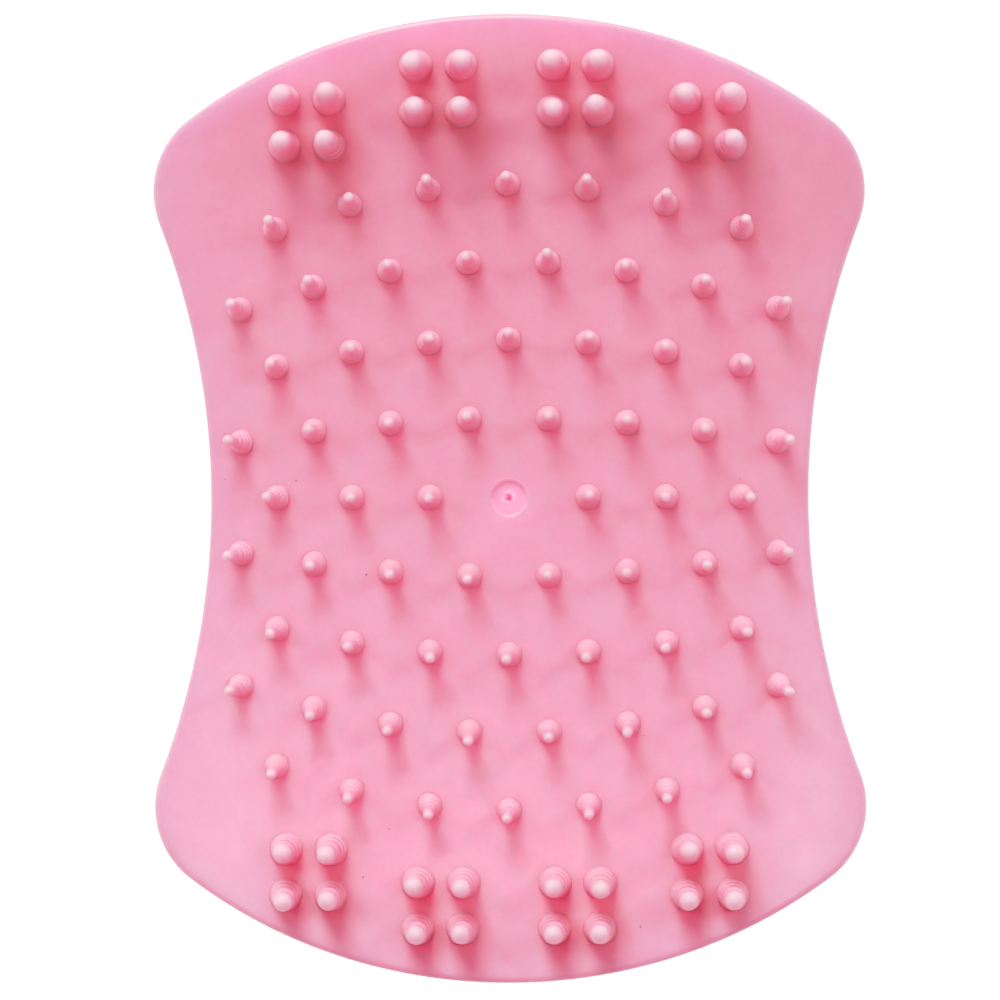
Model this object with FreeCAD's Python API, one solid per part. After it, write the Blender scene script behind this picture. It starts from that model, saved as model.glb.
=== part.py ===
"""Scalp massager brush: a palm-held grip shell that carries an elastomer tooth plate.

Frame: origin at the centre of the small resting flat on the crown of the back, +Z towards
the tooth tips, +Y along the length, +X across the width. Millimetres.

The plan outline is an hourglass of eight tangent arcs. The tooth face is a saddle: hollow
along the length so that it follows a head, and rolled off across the width.
"""
import FreeCAD, Part
import math
import os
from FreeCAD import Vector

# Plan outline of the elastomer plate
HALF_LENGTH = 45.0
HALF_WAIST = 28.2
END_RADIUS = 52.8
SIDE_RADIUS = 72.2
CORNER_RADIUS = 8.1

# Tooth face: z = FACE_CENTRE_Z + y^2 / (2 FACE_LENGTH_RADIUS) - FACE_ROLL x^4
FACE_CENTRE_Z = 32.0
FACE_LENGTH_RADIUS = 170.0
FACE_ROLL = 3.74e-6

# Elastomer plate
PLATE_THICKNESS = 2.2
PLATE_RIM_FILLET = 0.65
GATE_RECESS_RADIUS = 1.65
GATE_RECESS_DEPTH = 0.25
GATE_RECESS_SLOPE = 0.12
GATE_LIP_RADIUS = 0.52
GATE_LIP_HEIGHT = 0.16
GATE_PIT_RADIUS = 0.3
GATE_PIT_DEPTH = 0.4

# Rigid carrier that the plate is moulded onto
CARRIER_THICKNESS = 1.6
CARRIER_CLEARANCE = 0.15
SKIRT_DEPTH = 3.0
SKIRT_WALL = 1.4
ANCHOR_RADIUS = 2.2
ANCHOR_PLACES = [(0.0, 12.0), (13.0, 6.0), (12.0, 24.0)]
BEAD_REACH = 0.5
BEAD_WIDTH = 9.0
BEAD_HEIGHT = 1.2
BEAD_DROP = 1.6
BEAD_SLACK = 0.15

# Grip shell
SHELL_WALL = 2.2
SHELL_SETBACK = 0.25
POCKET_WALL = 1.9
SHELL_FULL_Z = 30.0
SHELL_CROWN_SCALE = 0.34
CROWN_HALF_WIDTH = 30.0
CROWN_HALF_LENGTH = 43.0
SHELL_OVAL_FADE = 1.5
SHELL_ROUNDING = 2.4
SHELL_WAIST_DEPTH = 4.0
SHELL_WAIST_TOP_Z = 23.0
SHELL_SECTIONS = 14
SHELL_SECTION_CROWDING = 1.5
SHELL_WIRE_POINTS = 64
RIB_WIDTH = 1.4
RIB_PLACES_Y = [-20.0, 0.0, 20.0]

# The whole field of teeth sits a little towards the +Y end
FIELD_SHIFT = 0.12

# Short teeth: staggered rows, numbered from -4 at the -Y end to 4 at the +Y end
SHORT_ROWS = 4
SHORT_ROW_PITCH = 7.42
SHORT_ROW_SQUEEZE = 0.0065
SHORT_ROW_BOW = 0.00172
SHORT_COLUMN_PITCH = 7.44
SHORT_COLUMN_SQUEEZE = 0.0203
SHORT_LENGTH = 5.2
SHORT_PROFILE = [(1.16, 0.0), (1.0, 0.5), (0.79, 1.15), (0.6, 1.95), (0.5, 2.9), (0.46, 3.9)]
SHORT_TIP_RADIUS = 0.45
SHORT_LEAN_LENGTHWISE = 7.5 / 28.8
SHORT_LEAN_SIDEWAYS = 13.0
SHORT_LEAN_STARTS = 14.0
SHORT_LEAN_FULL_AT = 24.9
SHORT_LEAN_POWER = 1.6
SHORT_LEAN_FADE = 0.4 / 25.0

# Long teeth: clusters of two by two
LONG_CLUSTERS = {"outer": (18.68, 35.0), "inner": (6.37, 38.07)}
LONG_HALF_SPACING = 2.11
LONG_LENGTH = 7.5
LONG_PROFILE = [(1.53, 0.0), (1.35, 0.9), (1.18, 2.1), (1.04, 3.6), (0.96, 5.2)]
LONG_TIP_RADIUS = 0.93

TOOTH_ROOT = 1.2
ABOVE_ALL_Z = 60.0


def face_height(x, y, drop=0.0):
    """Height of the tooth face, or of the surface a given drop below it."""
    return FACE_CENTRE_Z - drop + y * y / (2 * FACE_LENGTH_RADIUS) - FACE_ROLL * x ** 4


def outline_arcs(inset):
    """Centres, radii and meeting points of the arcs in one quarter of the outline."""
    half_length = HALF_LENGTH - inset
    half_waist = HALF_WAIST - inset
    end_radius = END_RADIUS - inset
    side_radius = SIDE_RADIUS + inset
    corner_radius = CORNER_RADIUS - inset
    end_y = half_length - end_radius
    side_x = half_waist + side_radius
    to_end = end_radius - corner_radius
    to_side = side_radius + corner_radius
    span = math.hypot(side_x, end_y)
    along = (to_end ** 2 - to_side ** 2 + span ** 2) / (2 * span)
    across = math.sqrt(to_end ** 2 - along ** 2)
    corner_x = (along * side_x + across * end_y) / span
    corner_y = end_y + (across * side_x - along * end_y) / span
    end_share = end_radius / to_end
    side_share = side_radius / to_side
    return {
        "side": (side_x, 0.0, side_radius),
        "corner": (corner_x, corner_y, corner_radius),
        "end": (0.0, end_y, end_radius),
        "waist": (half_waist, 0.0),
        "tip": (0.0, half_length),
        "side_touch": (side_x + (corner_x - side_x) * side_share, corner_y * side_share),
        "end_touch": (corner_x * end_share, end_y + (corner_y - end_y) * end_share),
    }


def outline_wire(z, inset=0.0):
    """The hourglass outline at height z: two side arcs, two end arcs, four corner arcs."""
    arcs = outline_arcs(inset)
    side_touch = arcs["side_touch"]
    end_touch = arcs["end_touch"]
    corner_x, corner_y, corner_radius = arcs["corner"]
    first = math.atan2(side_touch[1] - corner_y, side_touch[0] - corner_x)
    last = math.atan2(end_touch[1] - corner_y, end_touch[0] - corner_x)
    middle = (first + last) / 2
    corner_mid = (corner_x + corner_radius * math.cos(middle),
                  corner_y + corner_radius * math.sin(middle))

    def at(point, sign_x, sign_y):
        return Vector(point[0] * sign_x, point[1] * sign_y, z)

    edges = []
    for sign in (1, -1):
        edges.append(Part.Arc(at(side_touch, sign, -sign), at(arcs["waist"], sign, sign),
                              at(side_touch, sign, sign)))
        edges.append(Part.Arc(at(side_touch, sign, sign), at(corner_mid, sign, sign),
                              at(end_touch, sign, sign)))
        edges.append(Part.Arc(at(end_touch, sign, sign), at(arcs["tip"], sign, sign),
                              at(end_touch, -sign, sign)))
        edges.append(Part.Arc(at(end_touch, -sign, sign), at(corner_mid, -sign, sign),
                              at(side_touch, -sign, sign)))
    return Part.Wire([edge.toShape() for edge in edges])


def outline_reach(angle):
    """Distance from the centre to the full outline in one direction."""
    arcs = outline_arcs(0.0)
    ux = abs(math.cos(angle))
    uy = abs(math.sin(angle))
    direction = math.atan2(uy, ux)
    if direction < math.atan2(arcs["side_touch"][1], arcs["side_touch"][0]):
        centre_x, centre_y, radius = arcs["side"]
        far = -1
    elif direction < math.atan2(arcs["end_touch"][1], arcs["end_touch"][0]):
        centre_x, centre_y, radius = arcs["corner"]
        far = 1
    else:
        centre_x, centre_y, radius = arcs["end"]
        far = 1
    along = ux * centre_x + uy * centre_y
    off = ux * centre_y - uy * centre_x
    return along + far * math.sqrt(radius * radius - off * off)


def prism(z_low, z_high, inset):
    """Straight-sided block with the plan outline, drawn in by inset."""
    return Part.Face(outline_wire(z_low, inset)).extrude(Vector(0, 0, z_high - z_low))


def ring(z_low, z_high, outer_inset, width):
    """Wall of a given width that follows the plan outline."""
    return prism(z_low, z_high, outer_inset).cut(prism(z_low, z_high, outer_inset + width))


def below_face(drop):
    """Everything below the surface that lies a given drop under the tooth face."""
    across = [-40 + 5 * i for i in range(17)]
    lengthwise = [-52 + 13 * i for i in range(9)]
    grid = [[Vector(x, y, face_height(x, y, drop)) for y in lengthwise] for x in across]
    surface = Part.BSplineSurface()
    surface.interpolate(grid)
    return surface.toShape().extrude(Vector(0, 0, -ABOVE_ALL_Z))


def layer(shape, top_drop, bottom_drop):
    """The part of shape between two surfaces that follow the tooth face."""
    return shape.common(below_face(top_drop)).cut(below_face(bottom_drop))


def block(centre_x, centre_y, width, depth, z_low, z_high):
    """Upright box centred on a point in plan."""
    corner = Vector(centre_x - width / 2, centre_y - depth / 2, z_low)
    return Part.makeBox(width, depth, z_high - z_low, corner)


def mirrored_places(places):
    """Each place with its mirror images in both centre planes, without repeats."""
    found = []
    for x, y in places:
        for image in ((x, y), (-x, y), (x, -y), (-x, -y)):
            if image not in found:
                found.append(image)
    return found


def back_wire(turn, inset):
    """One level of the sculpted back, from the crown at turn 0 to the rim at turn 90 degrees.

    The level is an oval near the crown and becomes the hourglass towards the rim. Half-way
    up, the waist is cut deeper, for the fingers.
    """
    z = inset + (SHELL_FULL_Z - inset) * (1 - math.cos(turn) ** (2 / SHELL_ROUNDING))
    waist_share = math.sin(math.pi * min(1.0, z / SHELL_WAIST_TOP_Z)) ** 2
    grow = math.sin(turn) ** (2 / SHELL_ROUNDING)
    scale = SHELL_CROWN_SCALE + (1 - SHELL_CROWN_SCALE) * grow
    shape = grow ** SHELL_OVAL_FADE
    points = []
    for i in range(SHELL_WIRE_POINTS):
        angle = 2 * math.pi * i / SHELL_WIRE_POINTS
        oval = 1 / math.hypot(math.cos(angle) / CROWN_HALF_WIDTH,
                              math.sin(angle) / CROWN_HALF_LENGTH)
        reach = scale * ((1 - shape) * oval + shape * outline_reach(angle))
        reach -= SHELL_WAIST_DEPTH * waist_share * math.cos(angle) ** 4
        points.append(Vector(reach * math.cos(angle), reach * math.sin(angle), 0))
    level = []
    for i, point in enumerate(points):
        along = points[(i + 1) % SHELL_WIRE_POINTS] - points[i - 1]
        outward = Vector(along.y, -along.x, 0).normalize()
        moved = point - outward * (SHELL_SETBACK + inset)
        level.append(Vector(moved.x, moved.y, z))
    curve = Part.BSplineCurve()
    curve.interpolate(Points=level, PeriodicFlag=True)
    return Part.Wire([curve.toShape()])


def dome(inset):
    """The sculpted back, drawn in by inset. It is straight-sided near the rim."""
    wires = []
    for i in range(SHELL_SECTIONS + 1):
        left = (1 - i / SHELL_SECTIONS) ** SHELL_SECTION_CROWDING
        wires.append(back_wire(math.pi / 2 * (1 - left), inset))
    back = Part.makeLoft(wires, True, False)
    rim = Part.Face(wires[-1]).extrude(Vector(0, 0, ABOVE_ALL_Z - SHELL_FULL_Z))
    return back.fuse(rim)


def snap_windows():
    """Boxes at the two ends and the two waists, where the carrier snaps into the shell."""
    waist_z = face_height(HALF_WAIST, 0, PLATE_THICKNESS + CARRIER_THICKNESS + BEAD_DROP)
    end_z = face_height(0, HALF_LENGTH, PLATE_THICKNESS + CARRIER_THICKNESS + BEAD_DROP)
    places = []
    for sign in (1, -1):
        places.append((HALF_WAIST * sign, 0, 2 * BEAD_WIDTH / 3, BEAD_WIDTH, waist_z))
        places.append((0, HALF_LENGTH * sign, BEAD_WIDTH, 2 * BEAD_WIDTH / 3, end_z))
    return places


def snap_ring(outer_inset, reach, slack):
    """Short stretches of ring at the snap places, as beads or as grooves for them."""
    parts = []
    for x, y, width, depth, z in snap_windows():
        low = z - slack
        high = z + BEAD_HEIGHT + slack
        window = block(x, y, width + 2 * slack, depth + 2 * slack, low, high)
        parts.append(ring(low, high, outer_inset, reach).common(window))
    return parts


def grip_cover():
    """Hard shell for the palm: domed back, waisted sides, ribs and a pocket for the carrier."""
    pocket_inset = SHELL_SETBACK + POCKET_WALL
    seat_drop = PLATE_THICKNESS + CARRIER_THICKNESS + SKIRT_DEPTH
    below_seat = below_face(seat_drop)
    pocket = prism(0, ABOVE_ALL_Z, pocket_inset).cut(below_seat)
    shell = dome(0.0).common(below_face(PLATE_THICKNESS)).cut(dome(SHELL_WALL)).cut(pocket)
    ribs = [block(0, y, 2 * HALF_LENGTH, RIB_WIDTH, 0, ABOVE_ALL_Z) for y in RIB_PLACES_Y]
    ribs.append(block(0, 0, RIB_WIDTH, 2 * HALF_LENGTH, 0, ABOVE_ALL_Z))
    inside = dome(SHELL_WALL / 2).common(below_seat)
    shell = shell.fuse([rib.common(inside) for rib in ribs])
    for groove in snap_ring(pocket_inset - BEAD_REACH, BEAD_REACH + CARRIER_CLEARANCE, BEAD_SLACK):
        shell = shell.cut(groove)
    return shell


def anchors(top_drop, bottom_drop):
    """Round studs of the plate that fill the holes in the carrier."""
    studs = []
    for x, y in mirrored_places(ANCHOR_PLACES):
        column = Part.makeCylinder(ANCHOR_RADIUS, ABOVE_ALL_Z, Vector(x, y, 0))
        studs.append(layer(column, top_drop, bottom_drop))
    return studs


def carrier_frame():
    """Hard inner plate with a skirt that seats and snaps inside the grip shell."""
    outer_inset = SHELL_SETBACK + POCKET_WALL + CARRIER_CLEARANCE
    top = PLATE_THICKNESS
    under = PLATE_THICKNESS + CARRIER_THICKNESS
    deck = layer(prism(0, ABOVE_ALL_Z, outer_inset), top, under)
    skirt = layer(ring(0, ABOVE_ALL_Z, outer_inset, SKIRT_WALL), under, under + SKIRT_DEPTH)
    frame = deck.fuse(skirt)
    bead_inset = outer_inset - BEAD_REACH + BEAD_SLACK
    frame = frame.fuse(snap_ring(bead_inset, BEAD_REACH + SKIRT_WALL, 0.0))
    for x, y in mirrored_places(ANCHOR_PLACES):
        frame = frame.cut(Part.makeCylinder(ANCHOR_RADIUS, ABOVE_ALL_Z, Vector(x, y, 0)))
    return frame.removeSplitter()


def rim_edges(plate):
    """Edges where the tooth face meets the side wall."""
    found = []
    for edge in plate.Edges:
        on_rim = True
        for share in (0.2, 0.5, 0.8):
            parameter = edge.FirstParameter + share * (edge.LastParameter - edge.FirstParameter)
            p = edge.valueAt(parameter)
            near_face = abs(p.z - face_height(p.x, p.y)) < 0.05
            on_rim = on_rim and near_face and math.hypot(p.x, p.y) > HALF_WAIST - 1
        if on_rim:
            found.append(edge)
    return found


def gate_recess():
    """Shallow dished recess round the injection point, less the torn lip left standing in it."""
    floor_z = FACE_CENTRE_Z - GATE_RECESS_DEPTH
    wall_rise = 2 * GATE_RECESS_DEPTH
    wall_radius = GATE_RECESS_RADIUS + 2 * GATE_RECESS_SLOPE
    recess = Part.makeCone(GATE_RECESS_RADIUS, wall_radius, wall_rise, Vector(0, 0, floor_z))
    lip = Part.makeCone(GATE_LIP_RADIUS, GATE_PIT_RADIUS * 1.2, GATE_LIP_HEIGHT,
                        Vector(0, 0, floor_z))
    pit_z = floor_z + GATE_LIP_HEIGHT - GATE_PIT_DEPTH
    pit = Part.makeCone(GATE_PIT_RADIUS * 0.5, GATE_PIT_RADIUS, GATE_PIT_DEPTH,
                        Vector(0, 0, pit_z))
    return recess.cut(lip).fuse(pit)


def tooth_plate():
    """Elastomer plate with its rounded rim, gate recess and the studs that lock it on."""
    under = PLATE_THICKNESS + CARRIER_THICKNESS
    plate = layer(prism(0, ABOVE_ALL_Z, 0.0), 0.0, PLATE_THICKNESS)
    plate = plate.makeFillet(PLATE_RIM_FILLET, rim_edges(plate))
    plate = plate.cut(gate_recess()).fuse(anchors(PLATE_THICKNESS, under))
    return plate.removeSplitter()


def tooth(profile, length, tip_radius):
    """Upright tapered tooth with a ball tip. Its root reaches below the origin."""
    flare = profile[0][0] + (profile[0][0] - profile[1][0]) * TOOTH_ROOT / profile[1][1]
    points = [Vector(flare, 0, -TOOTH_ROOT)]
    points += [Vector(radius, 0, height) for radius, height in profile]
    shoulder = length - tip_radius
    points.append(Vector(tip_radius, 0, shoulder))
    side = Part.BSplineCurve()
    side.interpolate(points)
    half = tip_radius * math.sqrt(0.5)
    tip = Part.Arc(points[-1], Vector(half, 0, shoulder + half), Vector(0, 0, length))
    axis = Part.LineSegment(Vector(0, 0, length), Vector(0, 0, -TOOTH_ROOT))
    root = Part.LineSegment(Vector(0, 0, -TOOTH_ROOT), points[0])
    outline = Part.Wire([side.toShape(), tip.toShape(), axis.toShape(), root.toShape()])
    return Part.Face(outline).revolve(Vector(0, 0, 0), Vector(0, 0, 1), 360)


def planted(shape, x, y, lean_x, lean_y, plate_body):
    """A tooth stood on the face, leaned by two angles in degrees, and cut off at the face."""
    placed = shape.copy()
    placed.rotate(Vector(0, 0, 0), Vector(0, 1, 0), lean_x)
    placed.rotate(Vector(0, 0, 0), Vector(1, 0, 0), -lean_y)
    placed.translate(Vector(x, y, face_height(x, y)))
    return placed.cut(plate_body).Solids[0]


def short_tooth_places(row):
    """Plan positions of the teeth in one row. The gate takes the middle of row 0."""
    steps = [0, 1, 2, 3] if row % 2 == 0 else [0.5, 1.5, 2.5, 3.5]
    sign = -1 if row < 0 else 1
    places = []
    for step in steps:
        x = SHORT_COLUMN_PITCH * step - SHORT_COLUMN_SQUEEZE * step ** 3
        bow = SHORT_ROW_BOW * (abs(row) + 1) * x * x if row else 0.0
        y = sign * (SHORT_ROW_PITCH * abs(row) - SHORT_ROW_SQUEEZE * abs(row) ** 3 - bow) + FIELD_SHIFT
        if step == 0 and row != 0:
            places.append((0.0, y))
        if step != 0:
            places += [(-x, y), (x, y)]
    return sorted(places)


def short_tooth_lean(x, y):
    """Outward lean of a short tooth, across the width and along the length, in degrees."""
    past = max(0.0, abs(x) - SHORT_LEAN_STARTS) / (SHORT_LEAN_FULL_AT - SHORT_LEAN_STARTS)
    sideways = SHORT_LEAN_SIDEWAYS * past ** SHORT_LEAN_POWER * (1 - SHORT_LEAN_FADE * abs(y))
    return math.copysign(sideways, x), SHORT_LEAN_LENGTHWISE * y


def short_teeth(row, plate_body):
    """One row of short teeth, fanned outward from the middle of the face."""
    one = tooth(SHORT_PROFILE, SHORT_LENGTH, SHORT_TIP_RADIUS)
    teeth = []
    for x, y in short_tooth_places(row):
        lean_x, lean_y = short_tooth_lean(x, y)
        teeth.append(planted(one, x, y, lean_x, lean_y, plate_body))
    return Part.makeCompound(teeth)


def long_teeth(centre_x, centre_y, plate_body):
    """One cluster of four upright long teeth."""
    one = tooth(LONG_PROFILE, LONG_LENGTH, LONG_TIP_RADIUS)
    teeth = []
    for step_x in (-LONG_HALF_SPACING, LONG_HALF_SPACING):
        for step_y in (-LONG_HALF_SPACING, LONG_HALF_SPACING):
            teeth.append(planted(one, centre_x + step_x, centre_y + step_y, 0, 0, plate_body))
    return Part.makeCompound(teeth)


def save(shape, node):
    """Writes one node's file."""
    shape.exportStep("parts/" + node + ".step")


os.makedirs("parts", exist_ok=True)
save(grip_cover(), "grip_cover")
save(carrier_frame(), "carrier_frame")
save(tooth_plate(), "tooth_plate")
face_body = below_face(0.0)
for row in range(-SHORT_ROWS, SHORT_ROWS + 1):
    save(short_teeth(row, face_body), "short_teeth_row_" + str(SHORT_ROWS + 1 - row))
for ring_name, (cluster_x, cluster_y) in LONG_CLUSTERS.items():
    for end_name, sign_y in (("top", 1), ("bottom", -1)):
        for side_name, sign_x in (("left", -1), ("right", 1)):
            node = "long_teeth_" + end_name + "_" + side_name + "_" + ring_name
            save(long_teeth(sign_x * cluster_x, sign_y * cluster_y + FIELD_SHIFT, face_body), node)
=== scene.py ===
"""Scalp massager brush: the looks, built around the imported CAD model.

Metres, in the CAD's frame, unless a comment says millimetres.
"""
import math
import random

import bmesh
import bpy
import numpy as np
from mathutils import Matrix, Vector, noise


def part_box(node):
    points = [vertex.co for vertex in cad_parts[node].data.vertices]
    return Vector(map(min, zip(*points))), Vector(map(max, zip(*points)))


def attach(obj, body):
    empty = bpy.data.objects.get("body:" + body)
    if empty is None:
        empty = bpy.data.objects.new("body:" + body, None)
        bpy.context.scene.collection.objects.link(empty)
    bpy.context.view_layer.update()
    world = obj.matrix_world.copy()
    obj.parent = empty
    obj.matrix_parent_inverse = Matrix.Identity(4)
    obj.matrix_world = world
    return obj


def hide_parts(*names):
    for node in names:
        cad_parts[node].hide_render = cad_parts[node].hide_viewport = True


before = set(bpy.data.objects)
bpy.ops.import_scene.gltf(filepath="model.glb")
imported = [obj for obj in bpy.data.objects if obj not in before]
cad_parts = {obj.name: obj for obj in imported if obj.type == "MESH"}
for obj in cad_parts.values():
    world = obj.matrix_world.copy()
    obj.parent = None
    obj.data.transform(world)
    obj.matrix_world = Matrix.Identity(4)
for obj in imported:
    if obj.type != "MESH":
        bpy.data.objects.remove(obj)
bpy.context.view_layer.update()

MM = 0.001

# Camera: over the teeth from half a metre, leaned a little to the +X side
CAMERA_DISTANCE = 0.5
CAMERA_LEAN = math.radians(1.2)
CAMERA_ROLL = 0.0025
CAMERA_FIELD = 93.05 * MM
AIM = (-0.75 * MM, -0.15 * MM)
AIM_BELOW_PLATE_TOP = 1.6 * MM
SENSOR_WIDTH = 36.0
CLIP_START = 0.05
CLIP_END = 5.0

# Floor: a dark base that glows, so that it shows white whatever the lights do
FLOOR_GAP = 0.1 * MM
FLOOR_HALF = 1.5
FLOOR_GREY = 0.1
FLOOR_ROUGHNESS = 0.6
FLOOR_GLOW = 1.55

# Soft boxes: azimuth and elevation in degrees, distance, width and height in metres, watts
SOFT_BOXES = {
    "key_softbox": (-14, 43, 1.2, 0.5, 0.36, 18.0),
    "left_strip": (-65, 43, 1.1, 0.25, 0.5, 2.5),
    "right_strip": (65, 43, 1.1, 0.25, 0.5, 3.6),
}

# White surroundings: bright towards the horizon, dim overhead
HORIZON_TOP = 0.45
HORIZON_GLOW = 0.37
ZENITH_FROM = 0.8
ZENITH_GLOW = 0.1

# Tone curve: scene brightness to shown brightness, both linear
TONE_WHITE = 1.5
TONE_POINTS = [(0.2, 0.2), (0.4, 0.4), (0.7, 0.66), (1.0, 0.81), (1.25, 0.885), (1.45, 0.985)]

# Plan outline of the elastomer plate; its length comes from the frame
HALF_WAIST = 28.2 * MM
END_RADIUS = 52.8 * MM
SIDE_RADIUS = 72.2 * MM
CORNER_RADIUS = 8.1 * MM
PLATE_THICKNESS = 2.2 * MM
RIM_ROUND = 0.65 * MM
RIM_ROUND_UNDER = 0.15 * MM
RIM_STEPS = 8
PLATE_TURNS = 384
PLATE_RINGS = 72
UNDERSIDE_INSET = 3 * MM
UNDERSIDE_SHARES = (0.75, 0.5, 0.25, 0.08)

# Gate mark in the middle of the plate: a raised edge, a dish, and a torn nib round a pit
GATE_RADIUS = 1.65 * MM
GATE_DEPTH = 0.33 * MM
GATE_WALL = 0.15 * MM
GATE_EDGE_HEIGHT = 0.022 * MM
GATE_EDGE_WIDTH = 0.09 * MM
GATE_LIP_RADIUS = 0.45 * MM
GATE_LIP_HEIGHT = 0.26 * MM
GATE_LIP_WIDTH = 0.13 * MM
GATE_PIT_SHARE = 0.62
GATE_PIT_DEPTH = 0.9 * MM
GATE_RINGS = 44
GATE_REACH = 2.4 * MM

# Raggedness of the nib: the slice of noise, its density per metre, and what it varies by how much
NIB_SLICE = 0.3 * MM
NIB_DENSITY = 2600
NIB_FRACTAL = (0.7, 2.0, 3)
NIB_RADIUS_CHANGE = 0.35
NIB_LIP_CHANGE = 0.6
NIB_PIT_CHANGE = 0.5

# The face is fitted to CAD vertices that look up, clear of the gate mark and of the rounded rim
FACING_UP = 0.8
CLEAR_OF_GATE = 2 * GATE_RADIUS
CLEAR_OF_SIDE = 2 * RIM_ROUND
CLEAR_OF_END = 5 * RIM_ROUND
SLOPE_STEP = 0.1 * MM

# Teeth, in millimetres: (radius, height) along each profile, then a ball tip. Terraces are
# (radius step, strength), and BEND is the most that a tip moves, as a share of the length
SHORT_PROFILE = [(1.2, 0.0), (1.09, 0.5), (0.88, 1.1), (0.67, 1.8), (0.55, 2.7), (0.5, 3.8)]
SHORT_TIP_RADIUS = 0.49
SHORT_LENGTH = 5.2
SHORT_TERRACES = (0.16, 0.75)
LONG_PROFILE = [(1.53, 0.0), (1.35, 0.9), (1.18, 2.1), (1.04, 3.6), (0.96, 5.2)]
LONG_TIP_RADIUS = 0.88
LONG_LENGTH = 7.5
LONG_TERRACES = (0.18, 1.0)
TOOTH_KINDS = {
    "short_teeth": (SHORT_PROFILE, SHORT_TIP_RADIUS, SHORT_LENGTH, SHORT_TERRACES),
    "long_teeth": (LONG_PROFILE, LONG_TIP_RADIUS, LONG_LENGTH, LONG_TERRACES),
}
TOOTH_TURNS = 36
TOOTH_STEPS = 130
STRETCH_STEPS = 4
TIP_STEPS = 26
FOOT_STEPS = 4
TOOTH_SINK = 0.25
FOOT_FILLET = 0.14
FOOT_FILLET_DROP = 0.6
FOOT_BLEND = 0.5
BEND = 0.05
TERRACES_FROM = 0.05
TERRACE_TREAD = 0.1

# Reading the CAD teeth: welds, the reach of a tip's ball, the height of the band at the foot
CAD_WELD = 0.001 * MM
FINE_WELD = 0.0005 * MM
BALL_REACH = 1.1
FOOT_BAND = 0.04 * MM

# Noise values over which mottling comes in; the soft edges of specks
MOTTLE_FROM, MOTTLE_TO = 0.35, 0.65
SPECK_CORE = 0.5
SPECK_PICK_EDGE = 0.01

# Share of a tooth's height from which its tip is painted paler: painted highlight for the
# reflections and see-through light of the tips
TIP_HIGHLIGHT_FROM = 0.75

# Colours, as linear red, green and blue
PINK = (0.91, 0.262, 0.387)
PINK_DEEP = (0.88, 0.218, 0.338)
PINK_PALE = (0.93, 0.31, 0.436)
SPECK = (0.45, 0.05, 0.09)
SHELL_PINK = (0.90, 0.27, 0.38)
CARRIER_GREY = (0.78, 0.74, 0.72)
CARRIER_DULL = (0.72, 0.67, 0.64)
# the teeth share the plate's elastomer; their pink is painted paler, painted light for their lit
# flanks
TOOTH_PINK_PAINTED_LIGHT = (1.0, 0.52, 0.65)
TOOTH_DEEP = (1.0, 0.44, 0.57)
# painted highlight: the pale colour the tips take on
TIP_PAINTED_HIGHLIGHT = (1.0, 0.66, 0.75)
GLOW_PINK = (1.0, 0.34, 0.53)
GLOW_PALE = (1.0, 0.50, 0.66)


def mesh_object(name, points, faces, material):
    """A smooth-shaded mesh that rides on the body."""
    mesh = bpy.data.meshes.new(name)
    mesh.from_pydata([tuple(p) for p in points], [], faces)
    mesh.validate()
    mesh.shade_smooth()
    mesh.materials.append(material)
    piece = bpy.data.objects.new(name, mesh)
    bpy.context.scene.collection.objects.link(piece)
    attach(piece, "root")
    return piece


def face_terms(x, y):
    """Even powers of place, in millimetres, that the tooth face is written in."""
    across, along = (x / MM) ** 2, (y / MM) ** 2
    return [1 + 0 * across, across, along, across ** 2, across * along, along ** 2]


def fitted_face():
    """Coefficients of the tooth face, from the vertices on top of the CAD plate."""
    mesh = bmesh.new()
    mesh.from_mesh(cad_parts["tooth_plate"].data)
    top = np.array([v.co for face in mesh.faces if face.normal.z > FACING_UP for v in face.verts])
    mesh.free()
    x, y = top[:, 0], top[:, 1]
    clear = (np.hypot(x, y) > CLEAR_OF_GATE) & (abs(x) < HALF_WAIST - CLEAR_OF_SIDE)
    high = top[clear & (abs(y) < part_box("tooth_plate")[1].y - CLEAR_OF_END)]
    terms = np.column_stack(face_terms(high[:, 0], high[:, 1]))
    return np.linalg.lstsq(terms, high[:, 2], rcond=None)[0]


FACE = fitted_face()


def face_height(x, y):
    """Height of the tooth face, without the gate mark."""
    return sum(k * term for k, term in zip(FACE, face_terms(x, y)))


def face_normal(x, y):
    """Upward normal of the tooth face."""
    step = SLOPE_STEP
    slope_x = (face_height(x + step, y) - face_height(x - step, y)) / (2 * step)
    slope_y = (face_height(x, y + step) - face_height(x, y - step)) / (2 * step)
    return Vector((-slope_x, -slope_y, 1)).normalized()


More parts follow.
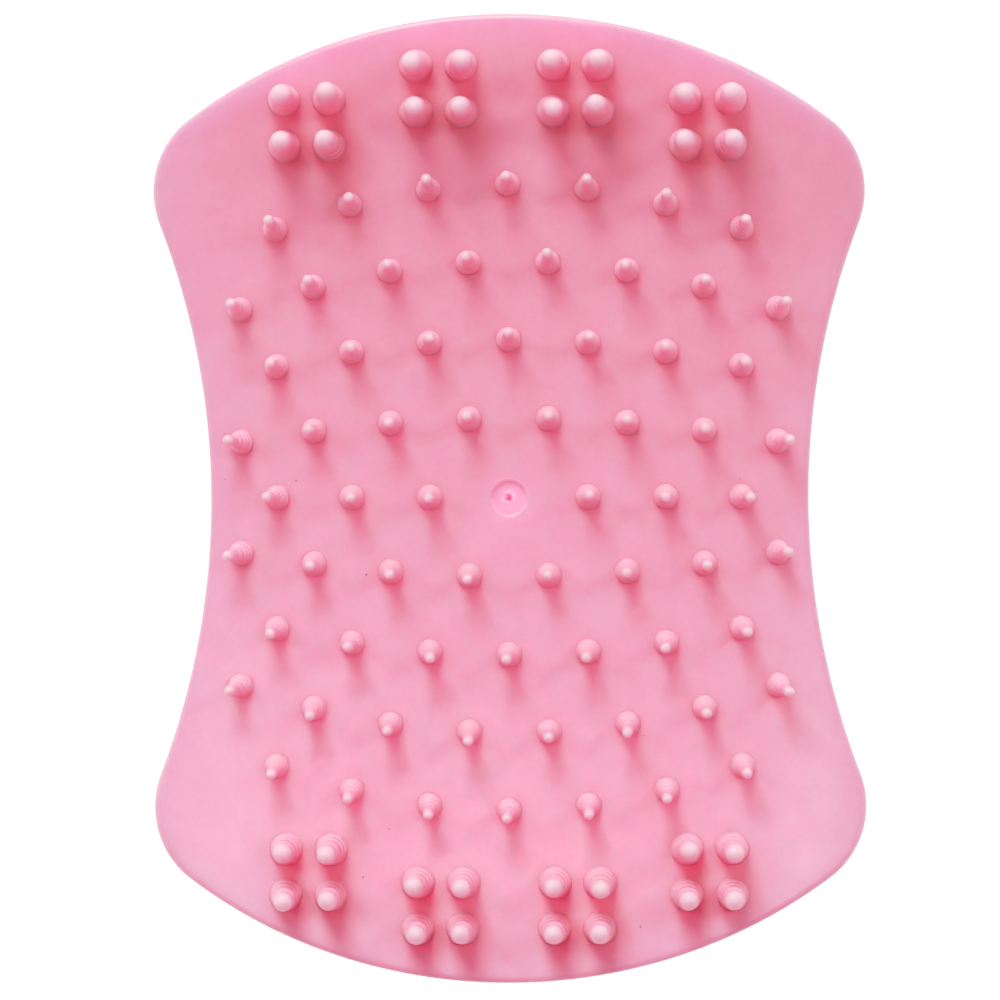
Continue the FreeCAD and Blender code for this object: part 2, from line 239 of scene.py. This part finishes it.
def outline_point(angle, half_length):
    """Point of the hourglass outline in one direction, with its outward normal.

    One quarter is worked out and mirrored: the end arc, the corner arc that touches it from
    inside, and the hollow side arc that touches the corner arc from outside.
    """
    end_y = half_length - END_RADIUS
    side_x = HALF_WAIST + SIDE_RADIUS
    to_end = END_RADIUS - CORNER_RADIUS
    to_side = SIDE_RADIUS + CORNER_RADIUS
    span = math.hypot(side_x, end_y)
    along = (to_end ** 2 - to_side ** 2 + span ** 2) / (2 * span)
    across = math.sqrt(to_end ** 2 - along ** 2)
    corner = Vector(((along * side_x + across * end_y) / span,
                     end_y + (across * side_x - along * end_y) / span))
    end = Vector((0, end_y))
    side = Vector((side_x, 0))
    side_touch = side + (corner - side) * SIDE_RADIUS / to_side
    end_touch = end + (corner - end) * END_RADIUS / to_end
    # the arc that a ray from the middle meets, and whether it meets its near or its far side
    ray = Vector((abs(math.cos(angle)), abs(math.sin(angle))))
    if ray.y * side_touch.x < ray.x * side_touch.y:
        centre, radius, far = side, SIDE_RADIUS, -1
    elif ray.y * end_touch.x < ray.x * end_touch.y:
        centre, radius, far = corner, CORNER_RADIUS, 1
    else:
        centre, radius, far = end, END_RADIUS, 1
    middle = ray.dot(centre)
    off = ray.x * centre.y - ray.y * centre.x
    point = ray * (middle + far * math.sqrt(radius ** 2 - off ** 2))
    outward = (point - centre) * far / radius
    signs = Vector((math.copysign(1, math.cos(angle)), math.copysign(1, math.sin(angle))))
    return point * signs, outward * signs


def ring_faces(rows, turns, first=0):
    """Quads between successive rings of points."""
    faces = []
    for row in range(rows - 1):
        a = first + row * turns
        for i in range(turns):
            j = (i + 1) % turns
            faces.append((a + i, a + turns + i, a + turns + j, a + j))
    return faces


def gate_height(x, y):
    """Height of the moulding mark above the face: a shallow dish with a torn nib in it."""
    r = math.hypot(x, y)
    wall = min(1.0, max(0.0, (GATE_RADIUS + GATE_WALL / 2 - r) / GATE_WALL))
    wall = wall * wall * (3 - 2 * wall)
    edge = math.exp(-((r - GATE_RADIUS - GATE_WALL) / GATE_EDGE_WIDTH) ** 2)
    ragged = noise.fractal(Vector((x, y, NIB_SLICE)) * NIB_DENSITY, *NIB_FRACTAL)
    spread = 1 + NIB_RADIUS_CHANGE * ragged
    lip = math.exp(-((r - GATE_LIP_RADIUS * spread) / GATE_LIP_WIDTH) ** 2)
    pit = math.exp(-(r / (GATE_LIP_RADIUS * GATE_PIT_SHARE * spread)) ** 2)
    height = GATE_EDGE_HEIGHT * edge - GATE_DEPTH * wall
    height += GATE_LIP_HEIGHT * lip * (1 + NIB_LIP_CHANGE * ragged)
    return height - GATE_PIT_DEPTH * pit * (1 + NIB_PIT_CHANGE * ragged)


def inset(outline, amount):
    """The outline drawn in by an amount."""
    return [edge - outward * amount for edge, outward in outline]


def face_ring(places, drop=0.0):
    """Points at a depth below the tooth face."""
    return [(p.x, p.y, face_height(p.x, p.y) - drop) for p in places]


def make_plate(material):
    """The elastomer plate: gate mark, saddle-shaped face, rounded rim, side wall, underside."""
    half_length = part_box("tooth_plate")[1].y
    directions = [2 * math.pi * i / PLATE_TURNS for i in range(PLATE_TURNS)]
    spokes = [Vector((math.cos(a), math.sin(a))) for a in directions]
    outline = [outline_point(a, half_length) for a in directions]
    points = []
    for k in range(1, GATE_RINGS + 1):
        for spoke in spokes:
            x, y = spoke * (GATE_REACH * k / GATE_RINGS)
            points.append((x, y, face_height(x, y) + gate_height(x, y)))
    flat_edge = inset(outline, RIM_ROUND)
    for k in range(1, PLATE_RINGS + 1):
        share = k / PLATE_RINGS
        points += face_ring((spoke * GATE_REACH).lerp(edge, share)
                            for spoke, edge in zip(spokes, flat_edge))
    for k in range(1, RIM_STEPS + 1):
        turn = math.pi / 2 * k / RIM_STEPS
        points += face_ring(inset(outline, RIM_ROUND * (1 - math.sin(turn))),
                            RIM_ROUND * (1 - math.cos(turn)))
    for drop, amount in ((PLATE_THICKNESS / 2, 0.0),
                         (PLATE_THICKNESS - RIM_ROUND_UNDER, 0.0),
                         (PLATE_THICKNESS, RIM_ROUND_UNDER),
                         (PLATE_THICKNESS, UNDERSIDE_INSET)):
        points += face_ring(inset(outline, amount), drop)
    under = inset(outline, UNDERSIDE_INSET)
    for share in UNDERSIDE_SHARES:
        points += face_ring([place * share for place in under], PLATE_THICKNESS)
    rows = len(points) // PLATE_TURNS
    faces = ring_faces(rows, PLATE_TURNS)
    # a fan of triangles closes the middle of the gate mark and of the underside
    top = len(points)
    points.append((0, 0, face_height(0, 0) + gate_height(0, 0)))
    points.append((0, 0, face_height(0, 0) - PLATE_THICKNESS))
    last = (rows - 1) * PLATE_TURNS
    for i in range(PLATE_TURNS):
        j = (i + 1) % PLATE_TURNS
        faces.append((top, i, j))
        faces.append((top + 1, last + j, last + i))
    plate = mesh_object("elastomer_plate", points, faces, material)
    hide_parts("tooth_plate")


def tooth_profile(profile, tip_radius, length):
    """Fine (radius, height) points in millimetres from the sunk foot to the tip."""
    shoulder = length - tip_radius
    knots = profile + [(tip_radius, shoulder)]
    # smooth cubic stretches between the knots, with slopes taken from the neighbours
    fine = []
    for i in range(len(knots) - 1):
        before = knots[max(0, i - 1)]
        after = knots[min(len(knots) - 1, i + 2)]
        (r0, h0), (r1, h1) = knots[i], knots[i + 1]
        slope0 = (r1 - before[0]) / (h1 - before[1])
        slope1 = (after[0] - r0) / (after[1] - h0)
        run = h1 - h0
        count = max(STRETCH_STEPS, round(TOOTH_STEPS * run / length))
        for k in range(count):
            t = k / count
            r = ((2 * t ** 3 - 3 * t ** 2 + 1) * r0 + (t ** 3 - 2 * t ** 2 + t) * run * slope0
                 + (3 * t ** 2 - 2 * t ** 3) * r1 + (t ** 3 - t ** 2) * run * slope1)
            fine.append((r, h0 + t * run))
    foot = []
    first = fine[0][0]
    for k in range(FOOT_STEPS):
        t = k / FOOT_STEPS
        foot.append((first + FOOT_FILLET * (1 - t) ** 2, FOOT_FILLET * (t - 1) * FOOT_FILLET_DROP))
    dome = []
    for k in range(TIP_STEPS):
        a = math.pi / 2 * k / TIP_STEPS
        dome.append((tip_radius * math.cos(a), shoulder + tip_radius * math.sin(a)))
    return [(first + FOOT_FILLET, -TOOTH_SINK)] + foot + fine + dome + [(0.0, length)]


def stepped(points, tip_radius, step, amount):
    """Gathers the taper of a tooth into the narrow turned terraces that the mould leaves on it."""
    result = []
    for r, h in points:
        past = (r - tip_radius) / step
        if h > TERRACES_FROM and past > 0:
            level = math.floor(past)
            ramp = min(1.0, max(0.0, (past - level - 0.5) / TERRACE_TREAD + 0.5))
            r += amount * (tip_radius + step * (level + ramp) - r)
        result.append((r, h))
    return result


def islands(node):
    """The separate solids of a CAD node, each as an array of its vertices."""
    mesh = bmesh.new()
    mesh.from_mesh(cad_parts[node].data)
    bmesh.ops.remove_doubles(mesh, verts=mesh.verts, dist=CAD_WELD)
    left = set(mesh.verts)
    found = []
    while left:
        seed = left.pop()
        group, edge = [seed], [seed]
        while edge:
            for link in edge.pop().link_edges:
                for v in link.verts:
                    if v in left:
                        left.discard(v)
                        group.append(v)
                        edge.append(v)
        found.append(np.array([v.co for v in group]))
    mesh.free()
    return sorted(found, key=lambda g: (round(g[:, 1].mean(), 4), g[:, 0].mean()))


def tooth_axis(points, tip_radius):
    """Foot centre and tip-ball centre of one CAD tooth."""
    top = points[points[:, 2].argmax()]
    ball = points[np.linalg.norm(points - top, axis=1) < BALL_REACH * tip_radius * MM]
    rows = np.column_stack([2 * ball, np.ones(len(ball))])
    solved, *_ = np.linalg.lstsq(rows, (ball ** 2).sum(1), rcond=None)
    centre = Vector(solved[:3])
    gap = points[:, 2] - face_height(points[:, 0], points[:, 1])
    rim = points[gap < gap.min() + FOOT_BAND]
    foot = Vector((rim.min(axis=0) + rim.max(axis=0)) / 2)
    foot.z = face_height(foot.x, foot.y)
    return foot, centre


def make_teeth(node, profile, tip_radius, length, terraces, material):
    """Fine teeth in the places of one CAD node's teeth, each with its own small bend."""
    rng = random.Random(node)
    fine = stepped(tooth_profile(profile, tip_radius, length), tip_radius, *terraces)
    points, faces, rises = [], [], []
    for solid in islands(node):
        foot, ball = tooth_axis(solid, tip_radius)
        axis = (ball - foot).normalized()
        normal = face_normal(foot.x, foot.y)
        turn = rng.uniform(0, 2 * math.pi)
        bend = Vector((math.cos(turn), math.sin(turn), 0)) * rng.uniform(0, BEND) * length * MM
        side = axis.cross(Vector((0, 1, 0))).normalized()
        front = side.cross(axis)
        first = len(points)
        for r, h in fine:
            share = max(0.0, h / length)
            middle = foot + axis * h * MM + bend * share ** 2
            for i in range(TOOTH_TURNS):
                a = 2 * math.pi * i / TOOTH_TURNS
                p = middle + (side * math.cos(a) + front * math.sin(a)) * r * MM
                if h < FOOT_BLEND:
                    # near the foot the rings lie along the face, higher up square to the axis
                    gap = (p - foot).dot(normal) - h * MM
                    p -= normal * gap * min(1.0, 1 - h / FOOT_BLEND)
                points.append(p)
                rises.append(share)
        faces += ring_faces(len(fine), TOOTH_TURNS, first)
        bottom = len(points)
        points.append(foot - normal * TOOTH_SINK * MM)
        rises.append(0.0)
        for i in range(TOOTH_TURNS):
            faces.append((bottom, first + i, first + (i + 1) % TOOTH_TURNS))
    teeth = mesh_object(node + "_fine", points, faces, material)
    # the material reads the height share of each point, to paint a pale highlight on the tips
    teeth.data.attributes.new("rise", "FLOAT", "POINT").data.foreach_set("value", rises)
    weld = bmesh.new()
    weld.from_mesh(teeth.data)
    bmesh.ops.remove_doubles(weld, verts=weld.verts, dist=FINE_WELD)
    bmesh.ops.recalc_face_normals(weld, faces=weld.faces)
    weld.to_mesh(teeth.data)
    weld.free()
    teeth.data.shade_smooth()
    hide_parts(node)


def make_camera():
    """The camera looks down on the teeth, leaned and rolled a little about its aim."""
    aim = Vector((*AIM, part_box("tooth_plate")[1].z - AIM_BELOW_PLATE_TOP))
    data = bpy.data.cameras.new("camera")
    data.sensor_width = SENSOR_WIDTH
    data.lens = SENSOR_WIDTH * CAMERA_DISTANCE / CAMERA_FIELD
    data.clip_start = CLIP_START
    data.clip_end = CLIP_END
    camera = bpy.data.objects.new("camera", data)
    turned = Matrix.Rotation(CAMERA_LEAN, 4, "Y") @ Matrix.Rotation(-CAMERA_ROLL, 4, "Z")
    away = Matrix.Translation((0, 0, CAMERA_DISTANCE))
    camera.matrix_world = Matrix.Translation(aim) @ turned @ away
    bpy.context.scene.collection.objects.link(camera)
    bpy.context.scene.camera = camera


def area_light(name, azimuth, elevation, distance, width, height, power):
    """A rectangular soft box aimed at the object. Azimuth 0 is towards +Y and 90 towards +X."""
    data = bpy.data.lights.new(name, "AREA")
    data.shape = "RECTANGLE"
    data.size = width
    data.size_y = height
    data.energy = power
    light = bpy.data.objects.new(name, data)
    a, e = math.radians(azimuth), math.radians(elevation)
    away = Vector((math.sin(a) * math.cos(e), math.cos(a) * math.cos(e), math.sin(e)))
    light.location = Vector((0, 0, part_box("tooth_plate")[1].z)) + away * distance
    light.rotation_euler = away.to_track_quat("Z", "Y").to_euler()
    bpy.context.scene.collection.objects.link(light)


def make_lights():
    """Three soft boxes and a world that is bright at the horizon."""
    for name, values in SOFT_BOXES.items():
        area_light(name, *values)
    world = bpy.data.worlds.new("studio")
    world.use_nodes = True
    nodes, links = world.node_tree.nodes, world.node_tree.links
    place = nodes.new("ShaderNodeTexCoord")
    axes = nodes.new("ShaderNodeSeparateXYZ")
    ramp = nodes.new("ShaderNodeValToRGB")
    ramp.color_ramp.elements[0].position = HORIZON_TOP
    ramp.color_ramp.elements[0].color = (*[HORIZON_GLOW] * 3, 1)
    ramp.color_ramp.elements[1].position = ZENITH_FROM
    ramp.color_ramp.elements[1].color = (*[ZENITH_GLOW] * 3, 1)
    links.new(place.outputs["Generated"], axes.inputs["Vector"])
    links.new(axes.outputs["Z"], ramp.inputs["Fac"])
    links.new(ramp.outputs["Color"], nodes["Background"].inputs["Color"])
    bpy.context.scene.world = world


def set_tone():
    """A film-like shoulder, so that bright pink compresses as it does in a camera."""
    settings = bpy.context.scene.view_settings
    settings.view_transform = "Standard"
    settings.use_curve_mapping = True
    mapping = settings.curve_mapping
    mapping.white_level = (TONE_WHITE, TONE_WHITE, TONE_WHITE)
    curve = mapping.curves[3]  # the combined curve, after red, green and blue
    for scene_value, shown_value in TONE_POINTS:
        curve.points.new(scene_value / TONE_WHITE, shown_value)
    mapping.update()


def make_floor():
    """A white floor just under the crown of the shell."""
    half, low = FLOOR_HALF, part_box("grip_cover")[0].z - FLOOR_GAP
    mesh = bpy.data.meshes.new("floor")
    corners = [(-half, -half, low), (half, -half, low), (half, half, low), (-half, half, low)]
    mesh.from_pydata(corners, [], [(0, 1, 2, 3)])
    floor = bpy.data.objects.new("floor", mesh)
    bpy.context.scene.collection.objects.link(floor)
    material = bpy.data.materials.new("floor_white")
    material.use_nodes = True
    shader = material.node_tree.nodes["Principled BSDF"]
    shader.inputs["Base Color"].default_value = (FLOOR_GREY, FLOOR_GREY, FLOOR_GREY, 1)
    shader.inputs["Roughness"].default_value = FLOOR_ROUGHNESS
    shader.inputs["Emission Color"].default_value = (1, 1, 1, 1)
    shader.inputs["Emission Strength"].default_value = FLOOR_GLOW
    mesh.materials.append(material)


class Recipe:
    """A material being built: a Principled shader with helpers for its procedural inputs."""

    def __init__(self, name, colour, roughness):
        self.material = bpy.data.materials.new(name)
        self.material.use_nodes = True
        self.nodes = self.material.node_tree.nodes
        self.links = self.material.node_tree.links
        self.shader = self.nodes["Principled BSDF"]
        self.place = self.nodes.new("ShaderNodeTexCoord").outputs["Object"]
        self.colour = self.rgb(colour)
        self.roughness = roughness
        self.normal = None

    def rgb(self, colour):
        """A fixed colour as a socket."""
        node = self.nodes.new("ShaderNodeRGB")
        node.outputs[0].default_value = (*colour, 1)
        return node.outputs[0]

    def noise(self, size, detail=3.0, stretch=(1, 1, 1)):
        """Noise whose features are about the given size in metres."""
        scale = self.nodes.new("ShaderNodeMapping")
        scale.inputs["Scale"].default_value = stretch
        self.links.new(self.place, scale.inputs["Vector"])
        node = self.nodes.new("ShaderNodeTexNoise")
        node.inputs["Scale"].default_value = 1 / size
        node.inputs["Detail"].default_value = detail
        self.links.new(scale.outputs["Vector"], node.inputs["Vector"])
        return node.outputs["Fac"]

    def remap(self, value, low, high, to_low, to_high):
        """A value taken from one range to another, and held at its ends."""
        node = self.nodes.new("ShaderNodeMapRange")
        node.inputs["From Min"].default_value = low
        node.inputs["From Max"].default_value = high
        node.inputs["To Min"].default_value = to_low
        node.inputs["To Max"].default_value = to_high
        self.links.new(value, node.inputs["Value"])
        return node.outputs["Result"]

    def blend(self, share, first, second):
        """Colour between two colours, by a share from 0 to 1."""
        node = self.nodes.new("ShaderNodeMix")
        node.data_type = "RGBA"
        self.links.new(share, node.inputs["Factor"])
        self.links.new(first, node.inputs["A"])
        self.links.new(second, node.inputs["B"])
        return node.outputs["Result"]

    def tint(self, share, colour):
        """Moves the base colour towards another, by a share from 0 to 1."""
        self.colour = self.blend(share, self.colour, self.rgb(colour))

    def mottle(self, size, amount, colour):
        """Soft uneven pigment."""
        share = self.remap(self.noise(size), MOTTLE_FROM, MOTTLE_TO, 0.0, amount)
        self.tint(share, colour)

    def specks(self, spacing, radius, share, colour):
        """A few specks: one cell in several holds a dot at its centre."""
        cells = self.nodes.new("ShaderNodeTexVoronoi")
        cells.inputs["Scale"].default_value = 1 / spacing
        self.links.new(self.place, cells.inputs["Vector"])
        edge = radius / spacing
        near = self.remap(cells.outputs["Distance"], edge, SPECK_CORE * edge, 0, 1)
        pick = self.remap(cells.outputs["Color"], 1 - share, 1 - share + SPECK_PICK_EDGE, 0, 1)
        both = self.nodes.new("ShaderNodeMath")
        both.operation = "MULTIPLY"
        self.links.new(near, both.inputs[0])
        self.links.new(pick, both.inputs[1])
        self.tint(both.outputs["Value"], colour)

    def bump(self, height, depth):
        """Relief on the surface; depth is in metres."""
        node = self.nodes.new("ShaderNodeBump")
        node.inputs["Distance"].default_value = depth
        self.links.new(height, node.inputs["Height"])
        if self.normal:
            self.links.new(self.normal, node.inputs["Normal"])
        self.normal = node.outputs["Normal"]

    def uneven_gloss(self, size, spread):
        """Roughness that wanders within a spread on both sides of its middle value."""
        low, high = self.roughness - spread, self.roughness + spread
        rough = self.remap(self.noise(size), 0.0, 1.0, low, high)
        self.links.new(rough, self.shader.inputs["Roughness"])

    def scatter(self, weight, radius):
        """Light spreading inside the material; the radius is per colour, in millimetres."""
        self.shader.subsurface_method = "BURLEY"
        self.shader.inputs["Subsurface Weight"].default_value = weight
        self.shader.inputs["Subsurface Radius"].default_value = radius
        self.shader.inputs["Subsurface Scale"].default_value = MM

    def see_through(self, share, colour):
        """Lets part of the light through thin walls."""
        thin = self.nodes.new("ShaderNodeBsdfTranslucent")
        self.links.new(colour, thin.inputs["Color"])
        mix = self.nodes.new("ShaderNodeMixShader")
        mix.inputs["Fac"].default_value = share
        self.links.new(self.shader.outputs["BSDF"], mix.inputs[1])
        self.links.new(thin.outputs["BSDF"], mix.inputs[2])
        self.links.new(mix.outputs["Shader"], self.nodes["Material Output"].inputs["Surface"])

    def finish(self):
        """Connects colour and relief, and gives the material."""
        self.links.new(self.colour, self.shader.inputs["Base Color"])
        if self.normal:
            self.links.new(self.normal, self.shader.inputs["Normal"])
        return self.material


def elastomer_face():
    """Satin elastomer of the plate: soft, a little see-through, with fine grain and few specks."""
    recipe = Recipe("elastomer_face", PINK, roughness=0.36)
    recipe.mottle(size=9 * MM, amount=0.5, colour=PINK_PALE)
    recipe.mottle(size=2.2 * MM, amount=0.35, colour=PINK_DEEP)
    recipe.mottle(size=0.35 * MM, amount=0.3, colour=PINK_PALE)
    recipe.specks(spacing=2.2 * MM, radius=0.12 * MM, share=0.25, colour=SPECK)
    recipe.uneven_gloss(size=3 * MM, spread=0.14)
    recipe.bump(recipe.noise(size=0.14 * MM, detail=2.0), depth=0.004 * MM)
    recipe.bump(recipe.noise(size=5 * MM, detail=1.0), depth=0.02 * MM)
    recipe.scatter(weight=0.75, radius=(18, 2.0, 4.0))
    return recipe.finish()


def elastomer_teeth():
    """The plate's elastomer, painted paler for the light on the teeth, with a painted highlight
    paling each tip, and more see-through towards each tip.
    """
    # painted light: the teeth's base pink is paler than the plate's pink
    recipe = Recipe("elastomer_teeth", TOOTH_PINK_PAINTED_LIGHT, roughness=0.36)
    rise = recipe.nodes.new("ShaderNodeAttribute")
    rise.attribute_name = "rise"
    share = recipe.remap(rise.outputs["Fac"], TIP_HIGHLIGHT_FROM, 1.0, 0.0, 1.0)
    recipe.mottle(size=0.5 * MM, amount=0.3, colour=TOOTH_DEEP)
    # painted highlight: the tips pale towards white
    recipe.tint(share, TIP_PAINTED_HIGHLIGHT)
    recipe.uneven_gloss(size=0.6 * MM, spread=0.14)
    recipe.bump(recipe.noise(size=0.12 * MM, detail=2.0), depth=0.004 * MM)
    recipe.scatter(weight=0.5, radius=(2.5, 1.5, 2.0))
    glow = recipe.blend(share, recipe.rgb(GLOW_PINK), recipe.rgb(GLOW_PALE))
    recipe.see_through(share=0.4, colour=glow)
    return recipe.finish()


def shell_plastic():
    """Glossy moulded plastic of the grip shell, with faint orange peel.

    A roughness of 0.3 with a spread of 0.12 gave false patches when few samples were denoised.
    """
    recipe = Recipe("shell_gloss", SHELL_PINK, roughness=0.235)
    recipe.mottle(size=12 * MM, amount=0.4, colour=PINK_PALE)
    recipe.mottle(size=1.2 * MM, amount=0.3, colour=PINK_DEEP)
    recipe.specks(spacing=2.5 * MM, radius=0.1 * MM, share=0.1, colour=SPECK)
    recipe.uneven_gloss(size=6 * MM, spread=0.06)
    recipe.bump(recipe.noise(size=1.3 * MM, detail=1.0), depth=0.006 * MM)
    recipe.scatter(weight=0.25, radius=(8, 2.0, 3.0))
    return recipe.finish()


def carrier_plastic():
    """Dry matte plastic of the inner frame, with the drag lines of its mould."""
    recipe = Recipe("carrier_matte", CARRIER_GREY, roughness=0.55)
    recipe.mottle(size=5 * MM, amount=0.6, colour=CARRIER_DULL)
    recipe.uneven_gloss(size=2 * MM, spread=0.2)
    recipe.bump(recipe.noise(size=0.4 * MM, stretch=(1, 1, 0.15)), depth=0.012 * MM)
    return recipe.finish()


make_camera()
make_lights()
make_floor()
tooth_pink = elastomer_teeth()
make_plate(elastomer_face())
for name in sorted(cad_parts):
    for kind, shape in TOOTH_KINDS.items():
        if name.startswith(kind):
            make_teeth(name, *shape, tooth_pink)
# the shell and the carrier keep their CAD meshes
for name, finish in (("grip_cover", shell_plastic()), ("carrier_frame", carrier_plastic())):
    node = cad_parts[name]
    node.data.materials.clear()
    node.data.materials.append(finish)
set_tone()
